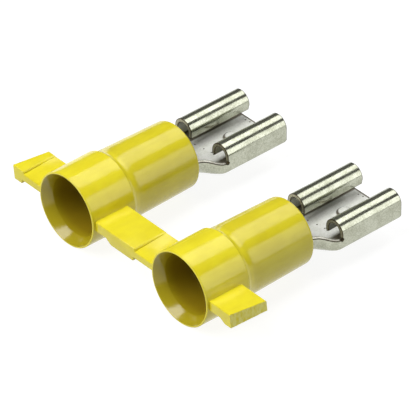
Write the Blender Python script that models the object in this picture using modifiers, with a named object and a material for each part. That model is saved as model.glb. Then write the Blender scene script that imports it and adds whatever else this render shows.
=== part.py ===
"""A strip of two insulated female spade terminals for 6.3 x 0.8 mm tabs and 4 to 6 mm2 wire.

Both insulating sleeves and the web between them are one yellow moulding. Each sleeve holds one
terminal, stamped and folded from tinned sheet: a crimp barrel with a butt seam on top, an open neck,
and a receptacle whose two sides are rolled over the floor. The web runs on past both sleeves and is
sheared off where the strip was cut from its reel.

The model is made on the barrel axes: x runs from the wire mouths to the receptacles, y from the near
terminal to the far one, and z up. An empty then sets the strip's box on the floor at the origin.
"""
import math

import bmesh
import bpy
from mathutils import Euler, Vector

MM = 0.001
MERGE = 0.001 * MM              # points closer than this are one point

# The strip
PITCH = 16.5 * MM               # from one barrel axis to the next

# The terminals' sheet
SHEET = 0.40 * MM
BARREL_RADIUS = 2.40 * MM       # outside of the crimp barrel
BARREL_SEAM = 0.12 * MM         # slit left between the butted edges
RECEPTACLE_WIDTH = 7.90 * MM
RECEPTACLE_LENGTH = 7.70 * MM
FLOOR_DROP = 1.89 * MM          # from the barrel axis down to the floor's underside
FLOOR_BEND = 0.45 * MM          # outside radius of the bends beside the floor
CURL_HEIGHT = 2.90 * MM         # from the floor's underside to the top of the rolls
CURL_RADIUS = 1.20 * MM         # outside radius of the rolls
TAB_THICKNESS = 0.80 * MM       # slot under the rolls' free edges
LIP_SETBACK = 0.30 * MM         # the floor ends this far behind the rolls
EDGE_SETBACK = 0.15 * MM        # and the rolls' free edges this far
DIMPLE_DISTANCE = 3.90 * MM     # from the receptacle's near end to the detent's centre
DIMPLE_RADIUS = 0.78 * MM
DIMPLE_RISE = 0.24 * MM
NECK_WALL = 1.27 * MM           # height of the neck's walls where they reach the receptacle
NOTCH_RADIUS = 0.17 * MM        # relief where a rolled side parts from the neck's wall

# The terminals' place along the sleeve
SEAT_GAP = 0.25 * MM            # between a barrel and the sleeve round it
BARREL_SETBACK = 1.30 * MM      # the barrel ends this far inside the sleeve
SPREAD_RUN = 0.50 * MM          # the neck starts to spread this far past the sleeve
SPREAD_LENGTH = 2.80 * MM       # and reaches the receptacle after this length
LEVEL_RUN = 1.30 * MM           # it starts to flatten, and to rise to the floor, this far past the sleeve
LEVEL_LENGTH = 1.65 * MM        # and is flat and level after this length
NECK_EDGE = 0.14 * MM           # the neck's edges leave the barrel this far below its axis

# The sleeves
SLEEVE_LENGTH = 14.0 * MM
SLEEVE_WALL = 0.935 * MM        # at the rear end
SLEEVE_DRAFT = 0.16 * MM        # the sleeve gains this much radius from its rear end to the step
REAR_ROUND = 0.30 * MM
COLLAR_LENGTH = 5.30 * MM
COLLAR_STEP = 0.305 * MM
COLLAR_DRAFT = 0.05 * MM        # the collar gains this much radius from its mouth to the step
COLLAR_WALL = 0.85 * MM
COLLAR_ROUND = 0.10 * MM
STEP_LENGTH = 0.50 * MM
RIM_LAND = 0.11 * MM            # flat of the mouth's rim, between its outer round and the funnel
RIM_ROUND = 0.08 * MM
FUNNEL_LENGTH = 1.00 * MM       # lead-in for the wire's insulation
BORE_LENGTH = 5.00 * MM         # from the mouth to the inner cone
CONE_LENGTH = 0.60 * MM         # inner cone that leads the strands into the barrel
THROAT_LENGTH = 0.30 * MM

# The web
WEB_START = 0.30 * MM           # behind the plane of the mouths
WEB_WIDTH = 4.06 * MM
WEB_TOP = 0.70 * MM             # above the barrel axes
WEB_STEP_DOWN = 0.35 * MM       # drop from the web's top to its low plate
WEB_BOTTOM = 0.42 * MM          # underside of the high plate, below the barrel axes
LOW_PLATE_DROP = 0.03 * MM      # the low plate's underside is this much lower
BLOCK_DEPTH = 0.46 * MM         # the block hangs this far below the high plate
HIGH_PLATE = 1.45 * MM          # from a collar to the block's slope
BLOCK_SLOPE = 0.75 * MM
LOW_PLATE = 2.85 * MM           # from the next collar to the step
BLOCK_OVERLAP = 0.25 * MM       # the low plate's thick end under the step
STEP_SLOPE = 0.08 * MM
WEB_ROUND = 0.09 * MM
FAR_TAB = 4.00 * MM             # web left outside the far collar
NEAR_TAB = 3.25 * MM            # web left outside the near collar
SHEAR_ANGLE = math.radians(9.0)     # the cuts run askew across the web
SHEAR_LEAN = math.radians(8.0)      # and lean, so that the near end's foot stands out
TORN_ANGLE = math.radians(5.5)      # the near end's underside is torn off, more so to the rear
TORN_DEPTH = 0.10 * MM              # and by this much at its front

# Fineness
TURN_STEPS = 64
NECK_ROWS = 16
FLOOR_STEPS = 6
BEND_STEPS = 5
BARREL_STEPS = 10
CURL_STEPS = 12

# Radii and places that follow from the sizes above
BARREL_MIDDLE = BARREL_RADIUS - SHEET / 2
SEAT_RADIUS = BARREL_RADIUS + SEAT_GAP
REAR_RADIUS = SEAT_RADIUS + SLEEVE_WALL
BODY_RADIUS = REAR_RADIUS + SLEEVE_DRAFT
COLLAR_END_RADIUS = BODY_RADIUS + COLLAR_STEP
COLLAR_RADIUS = COLLAR_END_RADIUS - COLLAR_DRAFT
BORE_RADIUS = COLLAR_RADIUS - COLLAR_WALL
MOUTH_RADIUS = COLLAR_RADIUS - RIM_ROUND - RIM_LAND
THROAT_RADIUS = BARREL_RADIUS - SHEET
SHOULDER_X = BORE_LENGTH + CONE_LENGTH + THROAT_LENGTH
BARREL_START = SHOULDER_X + SEAT_GAP
BARREL_END = SLEEVE_LENGTH - BARREL_SETBACK
SPREAD_START = SLEEVE_LENGTH + SPREAD_RUN
RECEPTACLE_START = SPREAD_START + SPREAD_LENGTH
RECEPTACLE_END = RECEPTACLE_START + RECEPTACLE_LENGTH
FAR_Y = PITCH / 2
NEAR_Y = -PITCH / 2
WEB_MIDDLE_X = WEB_START + WEB_WIDTH / 2
BLOCK_BOTTOM = -WEB_BOTTOM - BLOCK_DEPTH
FAR_CUT = FAR_Y + COLLAR_RADIUS + FAR_TAB
NEAR_CUT = NEAR_Y - COLLAR_RADIUS - NEAR_TAB


def collection(name):
    group = bpy.data.collections.new(name)
    bpy.context.scene.collection.children.link(group)
    return group


def material(name, colour, roughness, metallic):
    finish = bpy.data.materials.new(name)
    finish.use_nodes = True
    shader = finish.node_tree.nodes["Principled BSDF"]
    shader.inputs["Base Color"].default_value = (*colour, 1.0)
    shader.inputs["Roughness"].default_value = roughness
    shader.inputs["Metallic"].default_value = metallic
    return finish


def place(name, mesh, group, parent, location=(0, 0, 0), rotation=(0, 0, 0)):
    piece = bpy.data.objects.new(name, mesh)
    piece.parent = parent
    piece.location = location
    piece.rotation_euler = rotation
    group.objects.link(piece)
    if group.name == "cutters":
        piece.hide_render = True
        piece.display_type = "WIRE"
    return piece


def combine(piece, tool, operation):
    step = piece.modifiers.new(tool.name, "BOOLEAN")
    step.operation = operation
    step.object = tool
    step.solver = "EXACT"


def bake(piece):
    """Replaces a piece's mesh by what its modifiers make of it, with its sharp edges marked."""
    depsgraph = bpy.context.evaluated_depsgraph_get()
    mesh = bpy.data.meshes.new_from_object(piece.evaluated_get(depsgraph))
    piece.modifiers.clear()
    piece.data = mesh
    mesh.shade_smooth()
    mesh.set_sharp_from_angle(angle=math.radians(35))


def arc(centre, radius, start, end, steps):
    """Points of an arc in a plane, both ends included; angles in degrees."""
    angles = [math.radians(start + (end - start) * i / steps) for i in range(steps + 1)]
    return [(centre[0] + radius * math.cos(a), centre[1] + radius * math.sin(a)) for a in angles]


def turned(name, profile, group, parent, location, rotation=(0, math.pi / 2, 0)):
    """Turns a profile of (radius, height) points, given from the top down, about its own axis.

    As it is placed unless told otherwise, its height runs along x, from the mouth to the rear end.
    """
    mesh = bpy.data.meshes.new(name)
    edges = [(i, i + 1) for i in range(len(profile) - 1)]
    mesh.from_pydata([(radius, 0, height) for radius, height in profile], edges, [])
    piece = place(name, mesh, group, parent, location, rotation)
    screw = piece.modifiers.new("turn", "SCREW")
    screw.axis = "Z"
    screw.steps = TURN_STEPS
    screw.render_steps = TURN_STEPS
    screw.use_merge_vertices = True
    screw.merge_threshold = MERGE
    return piece


def sleeve_profile():
    """Outside of a sleeve, closed at both ends."""
    rear = arc((REAR_RADIUS - REAR_ROUND, SLEEVE_LENGTH - REAR_ROUND), REAR_ROUND, 90, 0, 4)
    shoulder = arc((COLLAR_END_RADIUS - COLLAR_ROUND, COLLAR_LENGTH - COLLAR_ROUND), COLLAR_ROUND, 60, 0, 2)
    rim = arc((COLLAR_RADIUS - RIM_ROUND, RIM_ROUND), RIM_ROUND, 0, -90, 2)
    step = [(BODY_RADIUS, COLLAR_LENGTH + STEP_LENGTH)]
    return [(0, SLEEVE_LENGTH)] + rear + step + shoulder + rim + [(0, 0)]


def bore_profile():
    """Everything that is hollow in a sleeve: the barrel's seat, the throat, the bore and the funnel."""
    past = FUNNEL_LENGTH
    return [
        (0, SLEEVE_LENGTH + past),
        (SEAT_RADIUS, SLEEVE_LENGTH + past),
        (SEAT_RADIUS, SHOULDER_X),
        (THROAT_RADIUS, SHOULDER_X),
        (THROAT_RADIUS, SHOULDER_X - THROAT_LENGTH),
        (BORE_RADIUS, BORE_LENGTH),
        (BORE_RADIUS, FUNNEL_LENGTH),
        (MOUTH_RADIUS, 0),
        (MOUTH_RADIUS, -past),
        (0, -past),
    ]


def web_outline():
    """The web's side, from the middle of one collar's wall to the next, as (y, z) from the first axis."""
    into_wall = COLLAR_RADIUS - COLLAR_WALL / 2
    slope_start = -COLLAR_RADIUS - HIGH_PLATE
    step = -PITCH + COLLAR_RADIUS + LOW_PLATE
    low_top = WEB_TOP - WEB_STEP_DOWN
    low_bottom = -WEB_BOTTOM - LOW_PLATE_DROP
    return [
        (-into_wall, WEB_TOP),
        (-into_wall, -WEB_BOTTOM),
        (slope_start, -WEB_BOTTOM),
        (slope_start - BLOCK_SLOPE, BLOCK_BOTTOM),
        (step + BLOCK_OVERLAP, BLOCK_BOTTOM),
        (step + BLOCK_OVERLAP - STEP_SLOPE, low_bottom),
        (-PITCH + into_wall, low_bottom),
        (-PITCH + into_wall, low_top),
        (step - STEP_SLOPE, low_top),
        (step, WEB_TOP),
    ]


def web(name, group, parent, y):
    """One pitch of the web, on the -y side of the axis at y."""
    curve = bpy.data.curves.new(name, "CURVE")
    curve.dimensions = "2D"
    curve.fill_mode = "BOTH"
    curve.extrude = WEB_WIDTH / 2
    outline = web_outline()
    spline = curve.splines.new("POLY")
    spline.points.add(len(outline) - 1)
    for point, (across, up) in zip(spline.points, outline):
        point.co = (across, up, 0, 1)
    spline.use_cyclic_u = True
    turned_to_x = (math.pi / 2, 0, math.pi / 2)
    drawn = place(name + "_outline", curve, group, parent, (WEB_MIDDLE_X, y, 0), turned_to_x)
    bpy.context.view_layer.update()
    depsgraph = bpy.context.evaluated_depsgraph_get()
    mesh = bpy.data.meshes.new_from_object(drawn.evaluated_get(depsgraph))
    bpy.data.objects.remove(drawn)
    weld(mesh)
    piece = place(name, mesh, group, parent, (WEB_MIDDLE_X, y, 0), turned_to_x)
    rounding = piece.modifiers.new("rounding", "BEVEL")
    rounding.width = WEB_ROUND
    rounding.segments = 2
    return piece


def weld(mesh):
    """Closes a filled curve's mesh, and makes one face of each flat end."""
    soft = bmesh.new()
    soft.from_mesh(mesh)
    bmesh.ops.remove_doubles(soft, verts=soft.verts, dist=MERGE)
    bmesh.ops.dissolve_limit(soft, angle_limit=math.radians(1), verts=soft.verts, edges=soft.edges)
    bmesh.ops.recalc_face_normals(soft, faces=soft.faces)
    soft.to_mesh(mesh)
    soft.free()


def block(name, group, parent, location, rotation):
    """A cube longer than any part of the web, for trimming its ends."""
    bpy.ops.mesh.primitive_cube_add(size=PITCH)
    made = bpy.context.object
    mesh = made.data
    bpy.data.objects.remove(made)
    return place(name, mesh, group, parent, location, rotation)


def shear_cut(name, group, parent, y, side):
    """The block beyond a cut through the web at y; side is 1 at the far end and -1 at the near end."""
    lean = Euler((-SHEAR_LEAN, 0, -SHEAR_ANGLE), "XYZ")
    outward = Vector((0, side * PITCH / 2, 0))
    outward.rotate(lean)
    at = Vector((WEB_MIDDLE_X, y, 0)) + outward
    return block(name, group, parent, at, lean)


def torn_cut(name, group, parent):
    """The block that takes the corner off the near tab's underside."""
    lean = Euler((0, -TORN_ANGLE, 0), "XYZ")
    down = Vector((0, 0, -PITCH / 2))
    down.rotate(lean)
    at = Vector((WEB_START, NEAR_CUT - PITCH / 2 + NEAR_TAB - HIGH_PLATE, BLOCK_BOTTOM + TORN_DEPTH)) + down
    return block(name, group, parent, at, lean)


def insulation_strip(group, cutters, parent):
    """Both sleeves and the web in one moulding."""
    strip = turned("insulation_strip", sleeve_profile(), group, parent, (0, FAR_Y, 0))
    combine(strip, turned("near_sleeve", sleeve_profile(), cutters, parent, (0, NEAR_Y, 0)), "UNION")
    for name, y in (("far_web", FAR_Y + PITCH), ("middle_web", FAR_Y), ("near_web", NEAR_Y)):
        combine(strip, web(name, cutters, parent, y), "UNION")
    combine(strip, shear_cut("far_shear", cutters, parent, FAR_CUT, 1), "DIFFERENCE")
    combine(strip, shear_cut("near_shear", cutters, parent, NEAR_CUT, -1), "DIFFERENCE")
    combine(strip, torn_cut("near_tear", cutters, parent), "DIFFERENCE")
    for name, y in (("far_bore", FAR_Y), ("near_bore", NEAR_Y)):
        combine(strip, turned(name, bore_profile(), cutters, parent, (0, y, 0)), "DIFFERENCE")
    bake(strip)
    return strip


def eased(value):
    value = min(max(value, 0.0), 1.0)
    return value * value * (3 - 2 * value)


def mixed(start, end, share):
    return start + (end - start) * share


def channel(x):
    """Half width, floor height, bend radius and edge height of the open sheet at x, all at its middle.

    Up to the sleeve's end these are the barrel's lower half, and at the receptacle its floor and bends.
    """
    spread = eased((x - SPREAD_START) / SPREAD_LENGTH)
    level = eased((x - SLEEVE_LENGTH - LEVEL_RUN) / LEVEL_LENGTH)
    return (
        mixed(BARREL_MIDDLE, RECEPTACLE_WIDTH / 2 - SHEET / 2, spread),
        mixed(-BARREL_MIDDLE, SHEET / 2 - FLOOR_DROP, level),
        mixed(BARREL_MIDDLE, FLOOR_BEND - SHEET / 2, level),
        mixed(-NECK_EDGE, NECK_WALL - FLOOR_DROP, level),
    )


def channel_lengths(half_width, floor, bend, edge):
    """How far the sheet runs flat, then round its bend, then up its wall."""
    bend_end = math.acos(max(floor + bend - edge, 0) / bend)
    return half_width - bend, bend * bend_end, max(edge - floor - bend, 0)


def channel_point(x, run):
    """The point this share of the way from the floor's middle to the edge."""
    half_width, floor, bend, edge = channel(x)
    flat, curved, wall = channel_lengths(half_width, floor, bend, edge)
    along = run * (flat + curved + wall)
    if along < flat:
        return along, floor
    if along < flat + curved:
        angle = (along - flat) / bend
        return flat + bend * math.sin(angle), floor + bend - bend * math.cos(angle)
    return flat + bend * math.sin(curved / bend), edge + along - flat - curved - wall


def channel_runs():
    """Shares of the way across the receptacle: along its floor, round a bend, and the neck's edge."""
    flat, curved, wall = channel_lengths(*channel(RECEPTACLE_START))
    ends = [flat * i / FLOOR_STEPS for i in range(FLOOR_STEPS)]
    ends += [flat + curved * i / BEND_STEPS for i in range(BEND_STEPS + 1)]
    return [end / (flat + curved + wall) for end in ends] + [1.0]


def barrel_top():
    """Middle of the barrel's wall from the neck's edge up to the seam."""
    start = math.acos(NECK_EDGE / BARREL_MIDDLE)
    end = math.pi - BARREL_SEAM / 2 / BARREL_MIDDLE
    angles = [mixed(start, end, (i + 1) / BARREL_STEPS) for i in range(BARREL_STEPS)]
    return [(BARREL_MIDDLE * math.sin(a), -BARREL_MIDDLE * math.cos(a)) for a in angles]


def rolled_side():
    """Middle of the sheet round a receptacle's roll, from its outer side to its free edge."""
    roll = CURL_RADIUS - SHEET / 2
    centre = (RECEPTACLE_WIDTH / 2 - CURL_RADIUS, CURL_HEIGHT - CURL_RADIUS - FLOOR_DROP)
    return arc(centre, roll, 0, 180, CURL_STEPS) + [(centre[0] - roll, SHEET + TAB_THICKNESS - FLOOR_DROP)]


def far_end(points):
    """The x of the receptacle's far end at each point: the floor and the free edges end first."""
    flat_height = -FLOOR_DROP + SHEET / 2
    rise = FLOOR_BEND - SHEET / 2
    ends = [RECEPTACLE_END - LIP_SETBACK * (1 - eased((z - flat_height) / rise)) for y, z in points[:-1]]
    return ends + [RECEPTACLE_END - EDGE_SETBACK]


def terminal_sheet(name):
    """Half of a terminal's sheet, open at its plane of symmetry, in the middle of its thickness."""
    runs = channel_runs()
    sheet = bmesh.new()

    def row(xs, points):
        return [sheet.verts.new((x, y, z)) for x, (y, z) in zip(xs, points)]

    def skin(first, second):
        for i in range(len(first) - 1):
            sheet.faces.new((first[i], second[i], second[i + 1], first[i + 1]))

    barrel = [channel_point(BARREL_END, run) for run in runs] + barrel_top()
    mouth_row = row([BARREL_START] * len(barrel), barrel)
    end_row = row([BARREL_END] * len(barrel), barrel)
    skin(mouth_row, end_row)

    last = end_row[:len(runs)]
    for i in range(1, NECK_ROWS + 1):
        x = mixed(BARREL_END, RECEPTACLE_START, i / NECK_ROWS)
        next_row = row([x] * len(runs), [channel_point(x, run) for run in runs])
        skin(last, next_row)
        last = next_row

    rolled = rolled_side()
    near_row = last + row([RECEPTACLE_START] * len(rolled), rolled)
    far_points = [channel_point(RECEPTACLE_START, run) for run in runs] + rolled
    far_row = row(far_end(far_points), far_points)
    skin(near_row, far_row)

    mesh = bpy.data.meshes.new(name)
    sheet.to_mesh(mesh)
    sheet.free()
    return mesh


def cap(name, group, parent, y, radius, floor, below):
    """The detent's dome: this radius where it leaves the floor, and closed this far below it."""
    ball = (radius * radius + DIMPLE_RISE * DIMPLE_RISE) / (2 * DIMPLE_RISE)
    spread = math.degrees(math.asin(radius / ball))
    dome = arc((0, DIMPLE_RISE - ball), ball, 90, 90 - spread, 6)
    dome[0] = (0, DIMPLE_RISE)
    profile = dome + [(radius, -below), (0, -below)]
    at = (RECEPTACLE_START + DIMPLE_DISTANCE, y, floor)
    return turned(name, profile, group, parent, at, (0, 0, 0))


def relief(name, group, parent, y, side):
    """A rod through one side of the receptacle, at the end of the neck's edge."""
    bpy.ops.mesh.primitive_cylinder_add(vertices=20, radius=NOTCH_RADIUS, depth=3 * SHEET)
    made = bpy.context.object
    mesh = made.data
    bpy.data.objects.remove(made)
    across = y + side * (RECEPTACLE_WIDTH / 2 - SHEET / 2)
    location = (RECEPTACLE_START, across, -FLOOR_DROP + NECK_WALL)
    return place(name, mesh, group, parent, location, (math.pi / 2, 0, 0))


def terminal(name, group, cutters, parent, y):
    """One folded terminal on the axis at y."""
    piece = place(name, terminal_sheet(name), group, parent, (0, y, 0))
    mirror = piece.modifiers.new("other_half", "MIRROR")
    mirror.use_axis = (False, True, False)
    mirror.merge_threshold = MERGE
    thickness = piece.modifiers.new("thickness", "SOLIDIFY")
    thickness.thickness = SHEET
    thickness.offset = 0
    thickness.use_even_offset = True
    for end, side in (("_far_relief", 1), ("_near_relief", -1)):
        combine(piece, relief(name + end, cutters, parent, y, side), "DIFFERENCE")
    floor_top = -FLOOR_DROP + SHEET
    dome = cap(name + "_dome", cutters, parent, y, DIMPLE_RADIUS, floor_top, SHEET / 2)
    hollow = cap(name + "_hollow", cutters, parent, y, DIMPLE_RADIUS - SHEET / 2, -FLOOR_DROP, SHEET)
    combine(piece, dome, "UNION")
    combine(piece, hollow, "DIFFERENCE")
    bake(piece)
    return piece


def stand_on_origin(frame, pieces):
    """Moves the frame so that the pieces' box stands on the origin, with its middle above it."""
    bpy.context.view_layer.update()
    corners = [piece.matrix_world @ Vector(corner) for piece in pieces for corner in piece.bound_box]
    low, high = ([pick(corner[i] for corner in corners) for i in range(3)] for pick in (min, max))
    frame.location = (-(low[0] + high[0]) / 2, -(low[1] + high[1]) / 2, -low[2])


def build():
    for old in list(bpy.data.objects):
        bpy.data.objects.remove(old)
    parts = collection("insulated_spade_terminals")
    cutters = collection("cutters")
    frame = bpy.data.objects.new("frame", None)
    parts.objects.link(frame)

    strip = insulation_strip(parts, cutters, frame)
    moulding = material("yellow_moulding", (0.75, 0.60, 0.05), 0.32, 0.0)
    tinned = material("tinned_sheet", (0.62, 0.62, 0.57), 0.28, 1.0)
    terminals = [
        terminal("far_terminal", parts, cutters, frame, FAR_Y),
        terminal("near_terminal", parts, cutters, frame, NEAR_Y),
    ]
    for piece, finish in ((strip, moulding), (terminals[0], tinned), (terminals[1], tinned)):
        piece.data.materials.clear()
        piece.data.materials.append(finish)
    stand_on_origin(frame, [strip] + terminals)


build()
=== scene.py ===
import math

import bmesh
import bpy
from mathutils import Euler, Matrix, Vector, noise


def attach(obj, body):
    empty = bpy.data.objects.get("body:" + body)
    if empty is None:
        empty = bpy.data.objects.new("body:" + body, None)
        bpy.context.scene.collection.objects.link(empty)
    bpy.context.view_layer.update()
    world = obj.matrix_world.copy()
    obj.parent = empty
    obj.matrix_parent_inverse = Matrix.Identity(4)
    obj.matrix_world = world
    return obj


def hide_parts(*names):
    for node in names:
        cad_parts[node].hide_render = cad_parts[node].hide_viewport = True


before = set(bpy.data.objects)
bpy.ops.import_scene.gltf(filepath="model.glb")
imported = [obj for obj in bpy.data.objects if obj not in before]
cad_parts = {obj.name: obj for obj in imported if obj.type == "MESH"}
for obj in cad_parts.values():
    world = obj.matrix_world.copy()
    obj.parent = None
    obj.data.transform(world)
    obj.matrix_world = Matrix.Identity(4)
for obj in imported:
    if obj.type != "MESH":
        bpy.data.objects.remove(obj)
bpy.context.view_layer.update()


# Insulation strip
# One injection moulding in opaque yellow plastic: two stepped sleeves, drafted for the mould, and
# the web between them. The web's two ends are rough where the strip was sheared off its reel.

MM = 0.001
MOUTH_X = -12.5 * MM
AXIS_Z = 4.05 * MM
FAR_Y = 7.857 * MM
NEAR_Y = -8.643 * MM
PITCH = FAR_Y - NEAR_Y

# The sleeves
SLEEVE_LENGTH = 14.0 * MM
REAR_RADIUS = 3.585 * MM
BODY_RADIUS = 3.745 * MM
COLLAR_LENGTH = 5.3 * MM
COLLAR_RADIUS = 4.0 * MM
COLLAR_END_RADIUS = 4.05 * MM
STEP_LENGTH = 0.5 * MM
MOUTH_RADIUS = 3.81 * MM
BORE_RADIUS = 3.15 * MM
THROAT_RADIUS = 2.0 * MM
SEAT_RADIUS = 2.65 * MM
FUNNEL_LENGTH = 1.0 * MM
BORE_LENGTH = 5.0 * MM
CONE_LENGTH = 0.6 * MM
SHOULDER_X = 5.9 * MM
RIM_ROUND = 0.08 * MM
REAR_ROUND = 0.3 * MM
COLLAR_ROUND = 0.1 * MM
INNER_ROUND = 0.05 * MM
FUNNEL_CORNER = 0.03 * MM
MOUTH_CORNER = 0.02 * MM
TURN_STEPS = 144
COLLAR_STEPS = 6
BODY_STEPS = 8
EDGE_STEPS = 5
REAR_STEPS = 8
INNER_STEPS = 3

# The web: its heights are from the sleeves' axes, and its plates' widths from the collars
WEB_START = 0.3 * MM
WEB_WIDTH = 4.06 * MM
WEB_TOP = 0.7 * MM
LOW_TOP = 0.40 * MM
LOW_BACK_TOP = 0.66 * MM
WEB_BOTTOM = -0.42 * MM
LOW_BOTTOM = -0.45 * MM
BLOCK_BOTTOM = -0.88 * MM
HIGH_PLATE = 1.45 * MM
BLOCK_SLOPE = 0.75 * MM
LOW_PLATE = 2.85 * MM
BLOCK_OVERLAP = 0.25 * MM
STEP_SLOPE = 0.08 * MM
STEP_ROUND = 0.10 * MM
STEP_ROUND_BACK = 0.30 * MM
STEP_STEPS = 2
WEB_ROUND = 0.09 * MM
WEB_ROUND_STEPS = 4
WEB_ROUND_PROFILE = 0.5
INTO_WALL = 0.36 * MM

# The two sheared ends, and the torn place under the near one
FAR_CUT = FAR_Y + COLLAR_RADIUS + 4.0 * MM
NEAR_CUT = NEAR_Y - COLLAR_RADIUS - 3.25 * MM
SHEAR_ANGLE = math.radians(9)
SHEAR_LEAN = math.radians(8)
TORN_ANGLE = math.radians(5.5)
TORN_DEPTH = 0.1 * MM
TOOL_SIZE = 12 * MM
TOOL_STEPS = 110
TORN_ROUGHNESS = 0.07 * MM
COARSE_TEAR = (1.3, 4.0)
FINE_TEAR = (5.0, 9.0)
COARSE_SHARE = 0.65
SHARP = math.radians(32)

# The plastic's colours, its marks, and how rough it is at least and at most
YELLOW = (0.84, 0.73, 0.026)
DEEP_YELLOW = (0.78, 0.665, 0.020)
REAR_YELLOW = (0.735, 0.635, 0.023)
DEEP_REAR_YELLOW = (0.68, 0.575, 0.018)
TORN_YELLOW = (0.97, 0.90, 0.24)
# The funnel's and the bore's colours are painted shade, darkening the inside of the sleeves away
# from the mouth.
FUNNEL_PAINTED_SHADE = (0.47, 0.38, 0.012)
BORE_PAINTED_SHADE = (0.28, 0.192, 0.008)
REAR_BLEND = 0.5 * MM
BORE_SHADE_START = 0.2 * MM
BORE_SHADE_END = 2.2 * MM
CLOUD_SCALE = 420
GRAIN_SCALE = 9000
FLOW_SCALE = 1900
FLOW_STRETCH = (0.25, 1, 1)
FLOW_DEPTH = 0.003 * MM
FIBRE_SCALE = 5200
FIBRE_STRETCH = (1, 1, 0.3)
FIBRE_DEPTH = 0.03 * MM
ROUGH_MOULDED = (0.12, 0.20)
ROUGH_BORED = (0.14, 0.20)
ROUGH_TORN = (0.5, 0.68)
GLOSSY_IOR = 1.52
TORN_IOR = 1.5


class Signal:
    """A shader socket in an expression: arithmetic on it adds the node that does it."""

    def __init__(self, tree, socket=None):
        self.tree = tree
        self.socket = socket

    def node(self, kind, settings, inputs, output=0):
        """Adds any node to the tree: its settings first, then its sockets' values or links."""
        made = self.tree.nodes.new("ShaderNode" + kind)
        for name, value in settings.items():
            setattr(made, name, value)
        for name, value in inputs.items():
            if isinstance(value, Signal):
                self.tree.links.new(value.socket, made.inputs[name])
            else:
                made.inputs[name].default_value = value
        return Signal(self.tree, made.outputs[output])

    def math(self, operation, *values):
        kind = "VectorMath" if self.socket.type == "VECTOR" else "Math"
        return self.node(kind, {"operation": operation}, dict(enumerate(values)))

    def __add__(self, other):
        return self.math("ADD", self, other)

    def __radd__(self, other):
        return self.math("ADD", other, self)

    def __sub__(self, other):
        return self.math("SUBTRACT", self, other)

    def __rsub__(self, other):
        return self.math("SUBTRACT", other, self)

    def __mul__(self, other):
        return self.math("MULTIPLY", self, other)

    def __rmul__(self, other):
        return self.math("MULTIPLY", other, self)

    def __abs__(self):
        return self.math("ABSOLUTE", self)

    def root(self):
        return self.math("SQRT", self)

    def larger(self, other):
        return self.math("MAXIMUM", self, other)

    def axis(self, name):
        """The X, Y or Z of this vector."""
        return self.node("SeparateXYZ", {}, {0: self}, name)

    def ramp(self, start, end, low=0.0, high=1.0):
        """This value's smooth change from low to high between start and end."""
        limits = {1: start, 2: end, 3: low, 4: high}
        return self.node("MapRange", {"interpolation_type": "SMOOTHSTEP"}, {0: self, **limits})

    def blend(self, first, second):
        """The first colour where this is 0, and the second where it is 1."""
        colours = [(*c, 1) if isinstance(c, tuple) else c for c in (first, second)]
        return self.node("Mix", {"data_type": "RGBA"}, {0: self, 6: colours[0], 7: colours[1]}, 2)

    def spots(self, scale, detail):
        return self.node("TexNoise", {}, {"Vector": self, "Scale": scale, "Detail": detail})

    def bump(self, distance, strength):
        sizes = {"Strength": strength, "Distance": distance}
        return self.node("Bump", {}, {"Height": self, **sizes})


def material(name, fixed):
    """A material with these fixed shader values, its shader's inputs and its object coordinates."""
    made = bpy.data.materials.new(name)
    made.use_nodes = True
    tree = made.node_tree
    shader = tree.nodes["Principled BSDF"]
    for key, value in fixed.items():
        shader.inputs[key].default_value = value
    return made, shader.inputs, Signal(tree).node("TexCoord", {}, {}, "Object")


def drive(inputs, **signals):
    """Links each signal to the shader input of that name."""
    for name, signal in signals.items():
        signal.tree.links.new(signal.socket, inputs[name.replace("_", " ")])


def flow_marks(place):
    """Faint streaks along the sleeves, which the plastic left as it ran into the mould."""
    return (place * FLOW_STRETCH).spots(FLOW_SCALE, 3)


def moulded():
    """Glossy yellow plastic with flow marks, deeper where the barrel lies close behind it."""
    made, inputs, place = material("moulded_yellow", {"IOR": GLOSSY_IOR})
    cloudy = place.spots(CLOUD_SCALE, 3)
    flow = flow_marks(place)
    grain = place.spots(GRAIN_SCALE, 2)
    clouds = (cloudy * 0.65 + flow * 0.35).ramp(0.35, 0.65)
    front_colour = clouds.blend(YELLOW, DEEP_YELLOW)
    rear_colour = clouds.blend(REAR_YELLOW, DEEP_REAR_YELLOW)
    rear_start = MOUTH_X + SHOULDER_X
    rear = place.axis("X").ramp(rear_start, rear_start + REAR_BLEND)
    drive(
        inputs,
        Base_Color=rear.blend(front_colour, rear_colour),
        Roughness=flow.ramp(0.3, 0.7, *ROUGH_MOULDED),
        Normal=(flow * 0.6 + grain * 0.4).bump(FLOW_DEPTH, 0.5),
    )
    return made


def bored():
    """The same plastic inside the sleeves, with painted shade that deepens away from the mouth."""
    made, inputs, place = material("bore_painted_shade", {"IOR": GLOSSY_IOR})
    depth = place.axis("X").ramp(MOUTH_X + BORE_SHADE_START, MOUTH_X + BORE_SHADE_END)
    flow = flow_marks(place)
    drive(
        inputs,
        # Painted shade that deepens from the funnel into the bore.
        Base_Color=(depth * 0.9 + flow * 0.1).blend(FUNNEL_PAINTED_SHADE, BORE_PAINTED_SHADE),
        Roughness=flow.ramp(0.3, 0.7, *ROUGH_BORED),
        Normal=flow.bump(FLOW_DEPTH, 0.15),
    )
    return made


def torn():
    """The same plastic where the shears parted it: paler, dull and fibrous."""
    made, inputs, place = material("torn_yellow", {"IOR": TORN_IOR})
    fibre = (place * FIBRE_STRETCH).spots(FIBRE_SCALE, 4)
    drive(
        inputs,
        Base_Color=fibre.ramp(0.35, 0.75).blend(TORN_YELLOW, YELLOW),
        Roughness=fibre.ramp(0.3, 0.7, *ROUGH_TORN),
        Normal=fibre.bump(FIBRE_DEPTH, 0.8),
    )
    return made


def arc(centre, radius, start, end, steps):
    """Points of an arc in a plane, both ends included; angles in degrees."""
    turns = [math.radians(start + (end - start) * i / steps) for i in range(steps + 1)]
    return [(centre[0] + radius * math.cos(t), centre[1] + radius * math.sin(t)) for t in turns]


def mixed(start, end, share):
    return start + (end - start) * share


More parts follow.
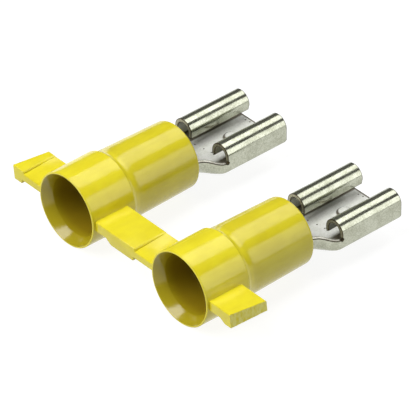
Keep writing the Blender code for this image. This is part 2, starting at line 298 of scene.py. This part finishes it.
def between(start, end, steps):
    """Points that divide a straight line evenly, with its two ends left out."""
    shares = [i / steps for i in range(1, steps)]
    return [(mixed(start[0], end[0], s), mixed(start[1], end[1], s)) for s in shares]


def sleeve_section():
    """A sleeve's wall as (x from the mouth, radius): its outside, and its inside from the back."""
    collar_corner = (COLLAR_LENGTH - COLLAR_ROUND, COLLAR_END_RADIUS - COLLAR_ROUND)
    body_start = (COLLAR_LENGTH + STEP_LENGTH, BODY_RADIUS)
    body_end = (SLEEVE_LENGTH - REAR_ROUND, REAR_RADIUS)
    lip_centre = (SLEEVE_LENGTH - INNER_ROUND, SEAT_RADIUS + INNER_ROUND)
    outside = arc((RIM_ROUND, COLLAR_RADIUS - RIM_ROUND), RIM_ROUND, 180, 90, EDGE_STEPS)
    outside += between((0, COLLAR_RADIUS), (COLLAR_LENGTH, COLLAR_END_RADIUS), COLLAR_STEPS)
    outside += arc(collar_corner, COLLAR_ROUND, 90, 30, EDGE_STEPS)
    outside += [body_start] + between(body_start, body_end, BODY_STEPS)
    outside += arc((body_end[0], REAR_RADIUS - REAR_ROUND), REAR_ROUND, 90, 0, REAR_STEPS)
    outside += arc(lip_centre, INNER_ROUND, 0, -90, INNER_STEPS)
    inside = [
        (SHOULDER_X, SEAT_RADIUS),
        (SHOULDER_X, THROAT_RADIUS),
        (BORE_LENGTH + CONE_LENGTH, THROAT_RADIUS),
        (BORE_LENGTH, BORE_RADIUS),
        (FUNNEL_LENGTH + INNER_ROUND, BORE_RADIUS),
        (FUNNEL_LENGTH - INNER_ROUND, BORE_RADIUS + FUNNEL_CORNER),
        (INNER_ROUND, MOUTH_RADIUS - FUNNEL_CORNER),
        (0, MOUTH_RADIUS + MOUTH_CORNER),
    ]
    return outside, inside


def shown(name, mesh):
    """A new object in the scene that shows this mesh, lamp or lens."""
    piece = bpy.data.objects.new(name, mesh)
    bpy.context.scene.collection.objects.link(piece)
    return piece


def tube(name, y):
    """A sleeve on the axis at y; its inside takes the second material, with the bore's painted
    shade.
    """
    outside, inside = sleeve_section()
    section = outside + inside
    turned = bmesh.new()
    rings = []
    for step in range(TURN_STEPS):
        angle = 2 * math.pi * step / TURN_STEPS
        rings.append([
            turned.verts.new((MOUTH_X + x, y + r * math.sin(angle), AXIS_Z + r * math.cos(angle)))
            for x, r in section
        ])
    for step, ring in enumerate(rings):
        after = rings[(step + 1) % TURN_STEPS]
        for i in range(len(section)):
            j = (i + 1) % len(section)
            face = turned.faces.new((ring[i], ring[j], after[j], after[i]))
            face.material_index = int(len(outside) <= i < len(section) - 1)
    return finished(name, turned)


def finished(name, soft):
    """An object from a bmesh, with its normals outward."""
    bmesh.ops.recalc_face_normals(soft, faces=soft.faces)
    if soft.calc_volume(signed=True) < 0:
        bmesh.ops.reverse_faces(soft, faces=soft.faces)
    mesh = bpy.data.meshes.new(name)
    soft.to_mesh(mesh)
    soft.free()
    return shown(name, mesh)


def web(name, y):
    """One pitch of the web, on the near side of the axis at y."""
    into_wall = COLLAR_RADIUS - INTO_WALL
    slope = y - COLLAR_RADIUS - HIGH_PLATE
    step = y - PITCH + COLLAR_RADIUS + LOW_PLATE
    soft = bmesh.new()
    ends = []
    for x, low_top, rounded in (
        (WEB_START, LOW_TOP, STEP_ROUND),
        (WEB_START + WEB_WIDTH, LOW_BACK_TOP, STEP_ROUND_BACK),
    ):
        outline = [
            (y - into_wall, WEB_TOP),
            (y - into_wall, WEB_BOTTOM),
            (slope, WEB_BOTTOM),
            (slope - BLOCK_SLOPE, BLOCK_BOTTOM),
            (step + BLOCK_OVERLAP, BLOCK_BOTTOM),
            (step + BLOCK_OVERLAP - STEP_SLOPE, LOW_BOTTOM),
            (y - PITCH + into_wall, LOW_BOTTOM),
            (y - PITCH + into_wall, low_top),
        ]
        for i in range(STEP_STEPS + 1):
            turn = math.pi / 2 * i / STEP_STEPS
            across = rounded * (1 - math.cos(turn))
            up = (WEB_TOP - low_top) * math.sin(turn)
            outline.append((step - STEP_SLOPE + across, low_top + up))
        ends.append([soft.verts.new((MOUTH_X + x, across, AXIS_Z + up)) for across, up in outline])
    front, back = ends
    soft.faces.new(front)
    soft.faces.new(back[::-1])
    for i, vert in enumerate(front):
        soft.faces.new((vert, front[i - 1], back[i - 1], back[i]))
    bmesh.ops.recalc_face_normals(soft, faces=soft.faces)
    edges = [e for e in soft.edges if e.calc_face_angle_signed() > SHARP]
    bmesh.ops.bevel(
        soft, geom=edges, offset=WEB_ROUND, segments=WEB_ROUND_STEPS, profile=WEB_ROUND_PROFILE,
        affect="EDGES", clamp_overlap=False,
    )
    return finished(name, soft)


def shears(name, matrix, seed):
    """A block whose face at its origin is rough, and that reaches away along its own z."""
    soft = bmesh.new()
    bmesh.ops.create_grid(soft, x_segments=TOOL_STEPS, y_segments=TOOL_STEPS, size=TOOL_SIZE / 2)
    for vert in soft.verts:
        at = vert.co / MM
        coarse_at = (at.x * COARSE_TEAR[0] + seed, at.y * COARSE_TEAR[1], seed)
        fine_at = (at.x * FINE_TEAR[0], at.y * FINE_TEAR[1] + seed, 2 * seed)
        height = mixed(noise.noise(Vector(fine_at)), noise.noise(Vector(coarse_at)), COARSE_SHARE)
        vert.co.z = -TORN_ROUGHNESS * (1 + height) / 2
    grown = bmesh.ops.extrude_face_region(soft, geom=list(soft.faces))
    back = [v for v in grown["geom"] if isinstance(v, bmesh.types.BMVert)]
    for vert in back:
        vert.co.z = TOOL_SIZE / 2
    soft.transform(matrix)
    return finished(name, soft)


def combined(piece, tools, operation):
    """Joins each tool to the piece, or cuts it away, in one mesh; the tools are used up."""
    for tool in tools:
        step = piece.modifiers.new(tool.name, "BOOLEAN")
        step.operation = operation
        step.object = tool
        step.solver = "EXACT"
        step.material_mode = "TRANSFER"
    depsgraph = bpy.context.evaluated_depsgraph_get()
    mesh = bpy.data.meshes.new_from_object(piece.evaluated_get(depsgraph))
    piece.modifiers.clear()
    piece.data = mesh
    for tool in tools:
        bpy.data.objects.remove(tool)


def strip_piece():
    plastic, bore, rough = moulded(), bored(), torn()
    strip = tube("moulded_strip", FAR_Y)
    parts = [tube("near_sleeve", NEAR_Y)]
    parts += [web("far_web", FAR_Y + PITCH), web("middle_web", FAR_Y), web("near_web", NEAR_Y)]
    for part in [strip] + parts:
        part.data.materials.append(plastic)
        part.data.materials.append(bore)
    combined(strip, parts, "UNION")

    lean = Euler((-SHEAR_LEAN, 0, -SHEAR_ANGLE)).to_matrix().to_4x4()
    web_x = MOUTH_X + WEB_START + WEB_WIDTH / 2
    cuts = []
    for name, y, side, seed in (("far_shear", FAR_CUT, 1, 4), ("near_shear", NEAR_CUT, -1, 2)):
        cut_at = Matrix.Translation((web_x, y, AXIS_Z)) @ lean
        cuts.append(shears(name, cut_at @ Matrix.Rotation(-side * math.pi / 2, 4, "X"), seed))
    tear_y = NEAR_Y - COLLAR_RADIUS - HIGH_PLATE - TOOL_SIZE / 2
    tear_at = Matrix.Translation((MOUTH_X + WEB_START, tear_y, AXIS_Z + BLOCK_BOTTOM + TORN_DEPTH))
    downward = Matrix.Rotation(-TORN_ANGLE, 4, "Y") @ Matrix.Rotation(math.pi, 4, "X")
    cuts.append(shears("near_tear", tear_at @ downward, seed=7))
    for cut in cuts:
        cut.data.materials.append(rough)
    combined(strip, cuts, "DIFFERENCE")
    strip.data.shade_smooth()
    strip.data.set_sharp_from_angle(angle=SHARP)
    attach(strip, "root")
    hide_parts("insulation_strip")


strip_piece()


# Terminals
# Each is blanked from tinned brass sheet and folded: a crimp barrel with a butt seam, an open neck,
# and a receptacle whose sides are rolled over its floor. The blanked ends show the bare brass,
# darkened with painted shade; the other cut edges carry a pale painted highlight, and the rounded
# corners of all the edges a near black painted shade.

# The folded sheet: starts and ends are from the sleeve's mouth, heights from the floor's underside
SHEET = 0.4 * MM
BARREL_MIDDLE = 2.2 * MM
BARREL_SEAM = 0.12 * MM
BARREL_START = 6.15 * MM
BARREL_END = 12.7 * MM
SPREAD_START = 14.5 * MM
SPREAD_LENGTH = 2.8 * MM
LEVEL_START = 15.3 * MM
LEVEL_LENGTH = 1.65 * MM
NECK_EDGE = 0.14 * MM
NECK_WALL = 1.27 * MM
RECEPTACLE_START = 17.3 * MM
RECEPTACLE_END = 25.0 * MM
HALF_WIDTH = 3.95 * MM
FLOOR_DROP = 1.89 * MM
FLOOR_BEND = 0.45 * MM
CURL_HEIGHT = 2.9 * MM
CURL_RADIUS = 1.2 * MM
SLOT_HEIGHT = 0.8 * MM
LIP_SETBACK = 0.3 * MM
EDGE_SETBACK = 0.15 * MM
DIMPLE_X = 21.2 * MM
DIMPLE_RADIUS = 0.78 * MM
DIMPLE_RISE = 0.24 * MM
DIMPLE_SIDE = 0.3
NOTCH_RADIUS = 0.21 * MM
NOTCH_STEPS = 32
EDGE_WORN = 0.075 * MM
WORN_STEPS = 3
WORN_PROFILE = 0.85
WORN_ANGLE = math.radians(50)
TOUCHING = 0.001 * MM
NECK_ROWS = 22
RECEPTACLE_ROWS = 64
FLOOR_STEPS = 28
BEND_STEPS = 10
WALL_STEPS = 5
BARREL_STEPS = 20
CURL_STEPS = 26
SIDE_SHARES = (0.33, 0.67)
FREE_SHARES = (0.33, 0.67, 1)
MARK_SIZE = 0.14 * MM
MARK_DEPTH = 0.04 * MM
MARKS_IN_MM = [(17.7, 1.45), (17.9, 0.35), (18.05, -0.6), (18.0, -1.0), (24.2, 1.3), (24.3, 0.75)]

# The finishes' colours and marks, the limits of the painted shade under the rolls and round the
# detent and of the darker band at the floor's far end, and the finishes' places in the list after
# the inner tin
TIN = (0.51, 0.525, 0.425)
DULL_TIN = (0.36, 0.37, 0.28)
PALE_TIN = (0.80, 0.805, 0.77)
GREY_TIN = (0.66, 0.67, 0.61)
# The darkest tin is painted shade under the rolls and round the detent; it also darkens the floor's
# far end.
PAINTED_SHADE_TIN = (0.16, 0.14, 0.10)
# A pale painted highlight on the cut edges, their lit copy.
LIT_EDGE_HIGHLIGHT = (0.88, 0.87, 0.80)
LIT_EDGE_GREY = (0.66, 0.64, 0.54)
# Bare brass on the blanked ends, darkened as painted shade: the edges' shaded copy.
SHADED_BRASS = (0.40, 0.385, 0.27)
DULL_SHADED_BRASS = (0.29, 0.275, 0.18)
# A near black painted shade for the rounded corners of every edge and for the notches and dents.
EDGE_CORNER_SHADE = (0.035, 0.025, 0.012)
DARK_EDGE_CORNER_SHADE = (0.10, 0.08, 0.04)
TIN_CLOUD_SCALE = 900
TIN_GRAIN_SCALE = 6500
ROLLED_SCALE = 5200
ROLLED_STRETCH = (0.12, 1, 1)
ROLLED_DEPTH = 0.008 * MM
SATIN_DEPTH = 0.004 * MM
STREAK_SCALE = 7000
STREAK_DEPTH = 0.008 * MM
ROUGH_OUTER = (0.13, 0.24)
ROUGH_INNER = (0.40, 0.52)
ROUGH_EDGE = (0.32, 0.48)
ROLL_SHADE_X = (17.0 * MM, 17.9 * MM)
ROLL_SHADE_Y = (2.0 * MM, 2.25 * MM)
FLOOR_SHADE_Z = (0.08 * MM, 0.3 * MM)
SHADED_END = (-0.26 * MM, -0.14 * MM)
DETENT_SHADE_INSIDE = (0.72, 0.92)
DETENT_SHADE_OUTSIDE = (0.98, 1.18)
HIGHLIGHT_RIM, PAINTED_CORNER_SHADE, OUTER, SHADED_BRASS_END = range(1, 5)
BLANKED_SLOPE = 0.7


def tin_marks(place):
    """The tin's clouds and its grain, and from both where it is duller."""
    cloudy = place.spots(TIN_CLOUD_SCALE, 4)
    grain = place.spots(TIN_GRAIN_SCALE, 3)
    return cloudy, grain, (cloudy * 0.5 + grain * 0.5).ramp(0.36, 0.66)


def outer_tin():
    """The sheet's under side: bright tin with the brass's rolling marks along it."""
    made, inputs, place = material("outer_tin", {"Metallic": 0.92})
    cloudy, grain, dull = tin_marks(place)
    rolled = (place * ROLLED_STRETCH).spots(ROLLED_SCALE, 3)
    drive(
        inputs,
        Base_Color=dull.blend(TIN, DULL_TIN),
        Roughness=(rolled * 0.5 + cloudy * 0.5).ramp(0.32, 0.68, *ROUGH_OUTER),
        Normal=(rolled * 0.6 + grain * 0.4).bump(ROLLED_DEPTH, 0.8),
    )
    return made


def inner_tin():
    """Satin tin with painted shade under the rolls and round the detent, darker at the floor's far
    end.
    """
    made, inputs, place = material("inner_tin", {"Metallic": 0.5})
    cloudy, grain, dull = tin_marks(place)
    off_axis = abs(abs(place.axis("Y") - (FAR_Y + NEAR_Y) / 2) - PITCH / 2)
    from_mouth = place.axis("X") - MOUTH_X
    from_detent = from_mouth - DIMPLE_X
    reach = (from_detent * from_detent + off_axis * off_axis).root() * (1 / DIMPLE_RADIUS)
    # A ring of painted shade round the detent's edge.
    detent_shade = reach.ramp(*DETENT_SHADE_INSIDE) * (1 - reach.ramp(*DETENT_SHADE_OUTSIDE))
    # Painted shade on the floor under the rolls.
    roll_shade = off_axis.ramp(*ROLL_SHADE_Y) * from_mouth.ramp(*ROLL_SHADE_X)
    far_end = (from_mouth - (RECEPTACLE_END - LIP_SETBACK)).ramp(*SHADED_END)
    over_floor = place.axis("Z") - (AXIS_Z - FLOOR_DROP + SHEET)
    shaded = roll_shade.larger(far_end) * (1 - over_floor.ramp(*FLOOR_SHADE_Z))
    drive(
        inputs,
        Base_Color=shaded.larger(detent_shade).blend(dull.blend(PALE_TIN, GREY_TIN), PAINTED_SHADE_TIN),
        Roughness=cloudy.ramp(0.32, 0.68, *ROUGH_INNER),
        Normal=grain.bump(SATIN_DEPTH, 0.6),
    )
    return made


def cut_edge(name, colour, dark, metallic):
    """A finish for the sheet's edges, dull and streaked, in colours of painted highlight or painted
    shade.
    """
    made, inputs, place = material(name, {"Metallic": metallic})
    streaks = place.spots(STREAK_SCALE, 3)
    drive(
        inputs,
        Base_Color=streaks.ramp(0.35, 0.65).blend(colour, dark),
        Roughness=streaks.ramp(0.3, 0.7, *ROUGH_EDGE),
        Normal=streaks.bump(STREAK_DEPTH, 0.6),
    )
    return made


def eased(value):
    value = min(max(value, 0.0), 1.0)
    return value * value * (3 - 2 * value)


def channel(x):
    """Half width, floor, bend radius and edge height of the open sheet's middle surface at x."""
    spread = eased((x - SPREAD_START) / SPREAD_LENGTH)
    level = eased((x - LEVEL_START) / LEVEL_LENGTH)
    return (
        mixed(BARREL_MIDDLE, HALF_WIDTH - SHEET / 2, spread),
        mixed(-BARREL_MIDDLE, SHEET / 2 - FLOOR_DROP, level),
        mixed(BARREL_MIDDLE, FLOOR_BEND - SHEET / 2, level),
        mixed(-NECK_EDGE, NECK_WALL - FLOOR_DROP, level),
    )


def channel_lengths(half_width, floor, bend, edge):
    """How far the sheet runs flat, then round its bend, then up its wall."""
    bend_end = math.acos(max(floor + bend - edge, 0) / bend)
    return half_width - bend, bend * bend_end, max(edge - floor - bend, 0)


def channel_point(x, run):
    """The point this share of the way from the floor's middle to the edge."""
    half_width, floor, bend, edge = channel(x)
    flat, curved, wall = channel_lengths(half_width, floor, bend, edge)
    along = run * (flat + curved + wall)
    if along < flat:
        return along, floor
    if along < flat + curved:
        angle = (along - flat) / bend
        return flat + bend * math.sin(angle), floor + bend - bend * math.cos(angle)
    return flat + bend * math.sin(curved / bend), edge + along - flat - curved - wall


def channel_runs():
    """Shares of the way across the receptacle: along its floor, round a bend, and up the wall."""
    flat, curved, wall = channel_lengths(*channel(RECEPTACLE_START))
    ends = [flat * i / FLOOR_STEPS for i in range(FLOOR_STEPS)]
    ends += [flat + curved * i / BEND_STEPS for i in range(BEND_STEPS)]
    ends += [flat + curved + wall * i / WALL_STEPS for i in range(WALL_STEPS + 1)]
    return [end / (flat + curved + wall) for end in ends]


def rolled_side():
    """The sheet's middle up the side above the neck, round the roll and down its free edge."""
    roll = CURL_RADIUS - SHEET / 2
    centre = (HALF_WIDTH - CURL_RADIUS, CURL_HEIGHT - CURL_RADIUS - FLOOR_DROP)
    low = NECK_WALL - FLOOR_DROP
    end = SHEET + SLOT_HEIGHT - FLOOR_DROP
    side = [(HALF_WIDTH - SHEET / 2, mixed(low, centre[1], share)) for share in SIDE_SHARES]
    free = [(centre[0] - roll, mixed(centre[1], end, share)) for share in FREE_SHARES]
    return side + arc(centre, roll, 0, 180, CURL_STEPS) + free


def dimple_rise(x, y):
    inward = 1 - math.hypot(x - DIMPLE_X, y) / DIMPLE_RADIUS
    return DIMPLE_RISE * eased(inward / DIMPLE_SIDE)


def half_sheet():
    """Half of a terminal's sheet on an axis at y 0, open at its plane of symmetry."""
    runs = channel_runs()
    soft = bmesh.new()

    def row(xs, points):
        return [soft.verts.new((x, y, z)) for x, (y, z) in zip(xs, points)]

    def skin(first, second):
        for i in range(len(second) - 1):
            soft.faces.new((first[i], second[i], second[i + 1], first[i + 1]))

    start = math.acos(NECK_EDGE / BARREL_MIDDLE)
    end = math.pi - BARREL_SEAM / 2 / BARREL_MIDDLE
    angles = [mixed(start, end, (i + 1) / BARREL_STEPS) for i in range(BARREL_STEPS)]
    top = [(BARREL_MIDDLE * math.sin(a), -BARREL_MIDDLE * math.cos(a)) for a in angles]
    ring = [channel_point(BARREL_END, run) for run in runs] + top
    mouth_row = row([BARREL_START] * len(ring), ring)
    last = row([BARREL_END] * len(ring), ring)
    skin(mouth_row, last)

    for i in range(1, NECK_ROWS + 1):
        x = mixed(BARREL_END, RECEPTACLE_START, i / NECK_ROWS)
        after = row([x] * len(runs), [channel_point(x, run) for run in runs])
        skin(last, after)
        last = after

    flat_height = SHEET / 2 - FLOOR_DROP
    rise = FLOOR_BEND - SHEET / 2
    points = [channel_point(RECEPTACLE_START, run) for run in runs] + rolled_side()
    ends = [
        RECEPTACLE_END - LIP_SETBACK * (1 - eased((z - flat_height) / rise))
        for y, z in points[:-1 - len(FREE_SHARES)]
    ]
    ends += [RECEPTACLE_END - EDGE_SETBACK * share for share in (0, *FREE_SHARES)]
    last += row([RECEPTACLE_START] * (len(points) - len(runs)), points[len(runs):])
    for i in range(1, RECEPTACLE_ROWS + 1):
        xs = [mixed(RECEPTACLE_START, far, i / RECEPTACLE_ROWS) for far in ends]
        raised = [
            (y, z + dimple_rise(x, y)) if z < flat_height + TOUCHING else (y, z)
            for x, (y, z) in zip(xs, points)
        ]
        after = row(xs, raised)
        skin(last, after)
        last = after

    mesh = bpy.data.meshes.new("half_sheet")
    soft.to_mesh(mesh)
    soft.free()
    return mesh


def small_tools(name):
    """The rods that relieve both sides, and a few dents in the floor, as one cutting mesh."""
    soft = bmesh.new()
    for side_y in (HALF_WIDTH - SHEET / 2, SHEET / 2 - HALF_WIDTH):
        at = Matrix.Translation((RECEPTACLE_START, side_y, NECK_WALL - FLOOR_DROP))
        bmesh.ops.create_cone(
            soft, cap_ends=True, segments=NOTCH_STEPS, depth=3 * SHEET,
            radius1=NOTCH_RADIUS, radius2=NOTCH_RADIUS,
            matrix=at @ Matrix.Rotation(math.pi / 2, 4, "X"),
        )
    mark_z = SHEET - FLOOR_DROP + MARK_SIZE / 2 - MARK_DEPTH
    for turn, (x, y) in enumerate(MARKS_IN_MM):
        at = Matrix.Translation((x * MM, y * MM, mark_z))
        bmesh.ops.create_cube(soft, size=MARK_SIZE, matrix=at @ Matrix.Rotation(turn, 4, "Z"))
    return finished(name, soft)


def terminal(name, node, y, finishes):
    """A folded terminal in place of its solid, on the axis at y."""
    piece = shown(name, half_sheet())
    mirror = piece.modifiers.new("other_half", "MIRROR")
    mirror.use_axis = (False, True, False)
    mirror.merge_threshold = TOUCHING
    thick = piece.modifiers.new("thickness", "SOLIDIFY")
    thick.thickness = SHEET
    thick.offset = 0
    thick.use_even_offset = True
    thick.material_offset = OUTER
    thick.material_offset_rim = HIGHLIGHT_RIM
    for finish in finishes:
        piece.data.materials.append(finish)
    worn = piece.modifiers.new("worn_edges", "BEVEL")
    worn.width = EDGE_WORN
    worn.segments = WORN_STEPS
    worn.profile = WORN_PROFILE
    worn.limit_method = "ANGLE"
    worn.angle_limit = WORN_ANGLE
    worn.use_clamp_overlap = False
    # The rounded corners take the near black painted shade.
    worn.material = PAINTED_CORNER_SHADE
    tool = small_tools(name + "_tools")
    # The notches and dents cut by the tools take the same painted shade.
    tool.data.materials.append(finishes[PAINTED_CORNER_SHADE])
    combined(piece, [tool], "DIFFERENCE")
    # Cut edges facing along the axis take the shaded brass; the others keep the painted highlight.
    for face in piece.data.polygons:
        if face.material_index == HIGHLIGHT_RIM and abs(face.normal.x) > BLANKED_SLOPE:
            face.material_index = SHADED_BRASS_END
    piece.data.transform(Matrix.Translation((MOUTH_X, y, AXIS_Z)))
    piece.data.shade_smooth()
    piece.data.set_sharp_from_angle(angle=SHARP)
    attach(piece, "root")
    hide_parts(node)


finishes = [
    inner_tin(),
    # The cut edges' painted highlight.
    cut_edge("cut_edge_painted_highlight", LIT_EDGE_HIGHLIGHT, LIT_EDGE_GREY, 0.3),
    # Painted shade for the edges' corners, the notches and the dents.
    cut_edge("painted_edge_shade", EDGE_CORNER_SHADE, DARK_EDGE_CORNER_SHADE, 0.6),
    outer_tin(),
    # The blanked ends' brass with painted shade.
    cut_edge("blanked_brass_painted_shade", SHADED_BRASS, DULL_SHADED_BRASS, 0.8),
]
terminal("folded_far_terminal", "far_terminal", FAR_Y, finishes)
terminal("folded_near_terminal", "near_terminal", NEAR_Y, finishes)


# Floor
# A plain white sheet under the strip that glows evenly, so that it shows hardly any shadow, and a
# white wall all round it. The light that they throw back at the strip is among the lights below.

FLOOR_RADIUS = 2.5
FLOOR_SEGMENTS = 96
WALL_HEIGHT = 3.0
FLOOR_WHITE = (0.20, 0.20, 0.20)
FLOOR_GREY = (0.185, 0.185, 0.185)
FLOOR_GLOW = 0.88
FLOOR_CLOUD_SCALE = 40


def white_sheet():
    """Matt white card with a glow of its own."""
    made, inputs, place = material("white_sheet", {
        "Roughness": 0.8,
        "Specular IOR Level": 0.1,
        "Emission Color": (1, 1, 1, 1),
        "Emission Strength": FLOOR_GLOW,
    })
    cloudy = place.spots(FLOOR_CLOUD_SCALE, 2)
    drive(inputs, Base_Color=cloudy.ramp(0.3, 0.7).blend(FLOOR_WHITE, FLOOR_GREY))
    return made


def spread(name, soft, finish, mirrored):
    """A stage piece that neither lights the strip nor shades it; the strip may mirror it."""
    piece = finished(name, soft)
    piece.data.materials.append(finish)
    piece.visible_diffuse = False
    piece.visible_shadow = False
    piece.visible_glossy = mirrored


def studio():
    finish = white_sheet()
    sheet = bmesh.new()
    bmesh.ops.create_circle(sheet, cap_ends=True, segments=FLOOR_SEGMENTS, radius=FLOOR_RADIUS)
    wall = sheet.copy()
    bmesh.ops.delete(wall, geom=wall.faces, context="FACES_ONLY")
    raised = bmesh.ops.extrude_edge_only(wall, edges=wall.edges)
    top = [v for v in raised["geom"] if isinstance(v, bmesh.types.BMVert)]
    bmesh.ops.translate(wall, verts=top, vec=(0, 0, WALL_HEIGHT))
    spread("floor", sheet, finish, True)
    spread("wall", wall, finish, False)


studio()


# Light
# A large soft light overhead, a smaller one low on the viewer's right, a bright one high on the
# left, dim surroundings above the strip and the pale sheet's light below it.

LIGHT_DISTANCE = 1.2
SUBJECT = Vector((0, 0, 4 * MM))
SHEET_LIGHT = (0.46, 0.46, 0.445)
ROOM_LIGHT = (0.08, 0.08, 0.075)
UPWARD = (0, 0.15, 1)
HORIZON = (-0.12, 0.0)


def softbox(name, direction, across, along, radiance):
    """An area light towards the subject, as wide in degrees across the barrels and along them."""
    lamp = bpy.data.lights.new(name, "AREA")
    lamp.shape = "RECTANGLE"
    lamp.size = 2 * LIGHT_DISTANCE * math.tan(math.radians(across / 2))
    lamp.size_y = 2 * LIGHT_DISTANCE * math.tan(math.radians(along / 2))
    lamp.energy = radiance * math.pi * lamp.size * lamp.size_y
    towards = Vector(direction).normalized()
    side = Vector((1, 0, 0)).cross(towards).normalized()
    made = shown(name, lamp)
    made.matrix_world = Matrix.Translation(SUBJECT + towards * LIGHT_DISTANCE) @ Matrix(
        (side, towards.cross(side), towards)
    ).transposed().to_4x4()


softbox("overhead", (0.53, 0.19, 0.82), 38, 56, 2.3)
softbox("right", (0.53, -0.75, 0.40), 38, 28, 2.05)
softbox("left", (-0.62, 0.19, 0.76), 32, 50, 5.9)


def surroundings():
    """The light from all round: the sheet's from below, and little from the room above."""
    world = bpy.data.worlds.new("surroundings")
    world.use_nodes = True
    tree = world.node_tree
    towards = Signal(tree).node("TexCoord", {}, {}, "Generated")
    dotted = {"operation": "DOT_PRODUCT"}
    height = towards.node("VectorMath", dotted, {0: towards, 1: UPWARD}, "Value")
    colour = height.ramp(*HORIZON).blend(SHEET_LIGHT, ROOM_LIGHT)
    tree.links.new(colour.socket, tree.nodes["Background"].inputs["Color"])
    bpy.context.scene.world = world


surroundings()
bpy.context.scene.view_settings.view_transform = "Standard"


# Camera
# A long lens above the wire mouths, looking down along the terminals. Its shift puts the target
# where the picture has it.

AZIMUTH = math.radians(41.45)
ELEVATION = math.radians(36.70)
CAMERA_DISTANCE = 0.5
TARGET = Vector((-0.5, -0.393, 4.05)) * MM
PICTURE = 420
FOCAL_PIXELS = 5185
TARGET_PIXEL = (216.78, 199.6)
SENSOR_WIDTH = 36
CLIP_START = 0.05
CLIP_END = 10


def camera():
    lens = bpy.data.cameras.new("camera")
    lens.sensor_width = SENSOR_WIDTH
    lens.lens = FOCAL_PIXELS / PICTURE * lens.sensor_width
    lens.shift_x = (PICTURE / 2 - TARGET_PIXEL[0]) / PICTURE
    lens.shift_y = (TARGET_PIXEL[1] - PICTURE / 2) / PICTURE
    lens.clip_start = CLIP_START
    lens.clip_end = CLIP_END
    back = Vector((
        -math.sin(AZIMUTH) * math.cos(ELEVATION),
        -math.cos(AZIMUTH) * math.cos(ELEVATION),
        math.sin(ELEVATION),
    ))
    made = shown("camera", lens)
    made.location = TARGET + back * CAMERA_DISTANCE
    made.rotation_euler = back.to_track_quat("Z", "Y").to_euler()
    bpy.context.scene.camera = made


camera()
